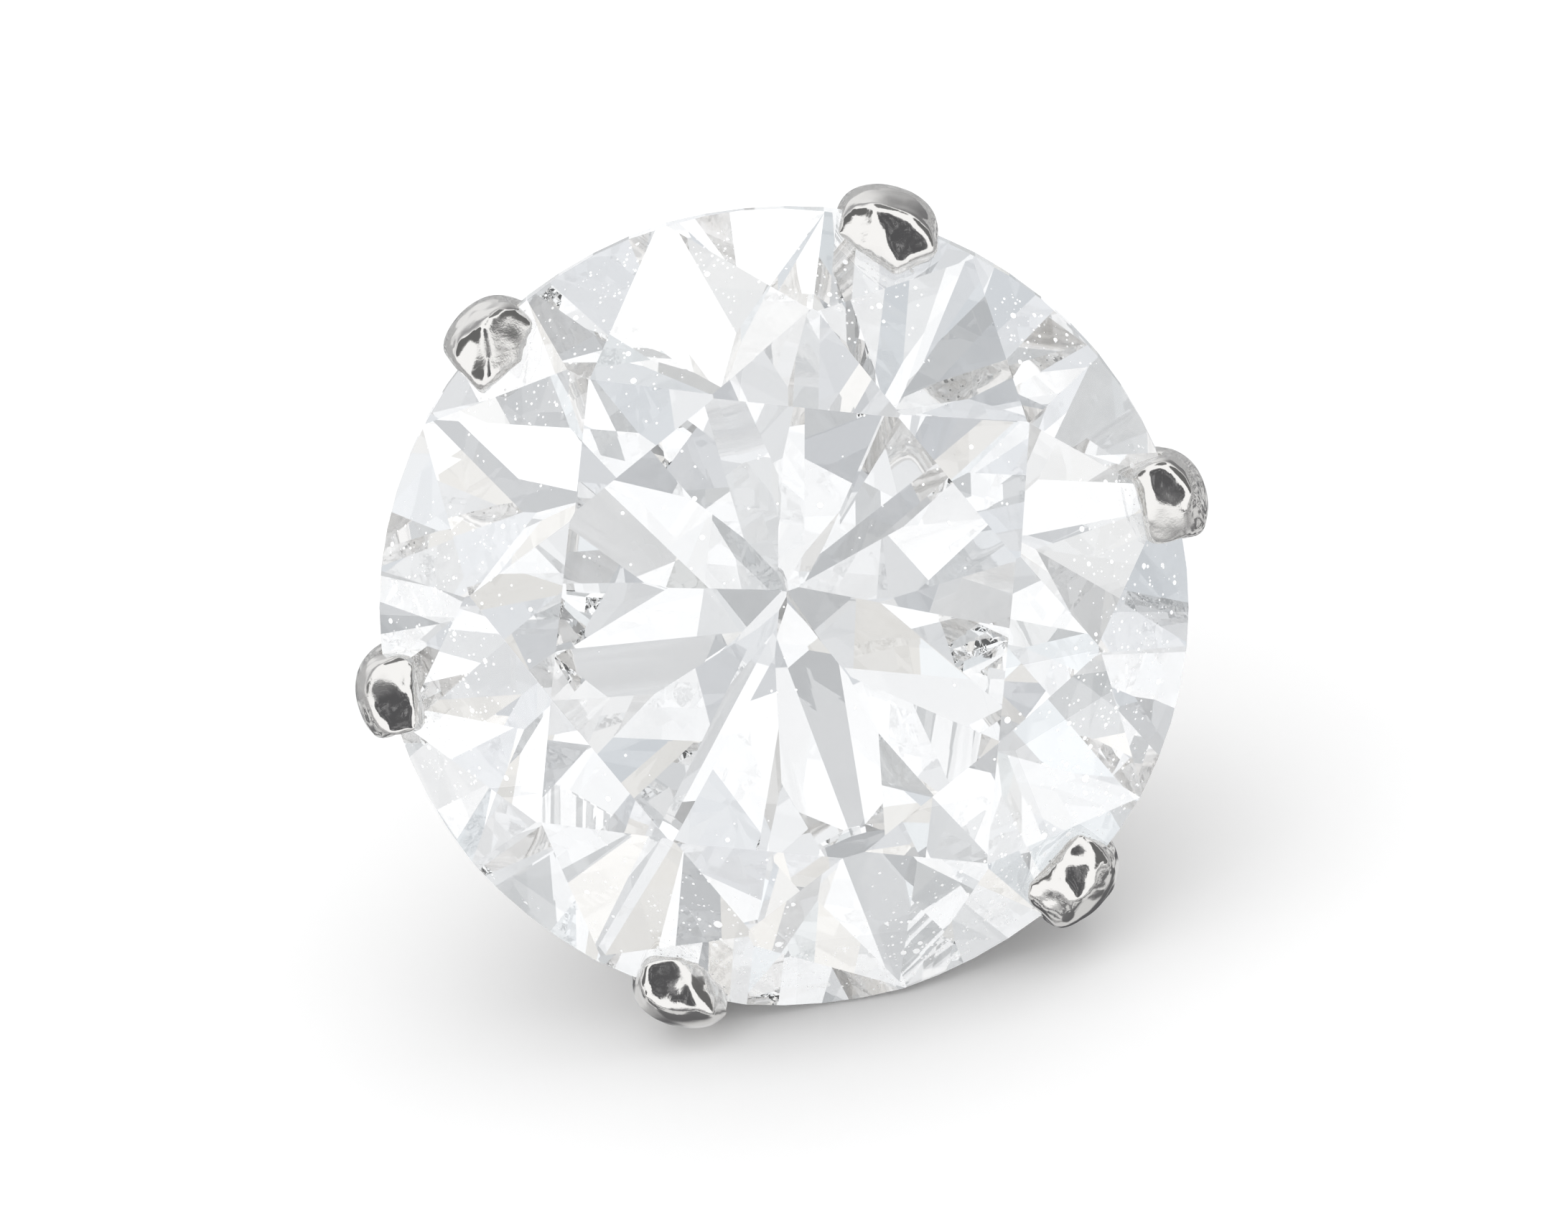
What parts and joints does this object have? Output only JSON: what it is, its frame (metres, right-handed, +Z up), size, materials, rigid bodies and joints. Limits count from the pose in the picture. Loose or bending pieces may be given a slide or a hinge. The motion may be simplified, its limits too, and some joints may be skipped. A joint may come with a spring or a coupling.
{
  "type": "stud earring",
  "caption": "Stud earring: a round brilliant-cut colourless stone held by claws on a slim white metal basket, with a plain straight ear post.",
  "frame": {"origin": "on the surface that the earring lies on, below the middle of its bounding box", "axes": "+Z up; the ear post points to +Y and a little down, and the stone's table faces -Y and a little up; +X is to the right of someone who looks at the stone"},
  "size_m": [0.0108, 0.0174, 0.0096],
  "materials": {
    "diamond": "polished, colourless",
    "white_gold": "polished white metal with fine handling marks"
  },
  "bodies": {
    "root": {"round_stone": "diamond", "claw_setting": "white_gold"}
  },
  "joints": []
}
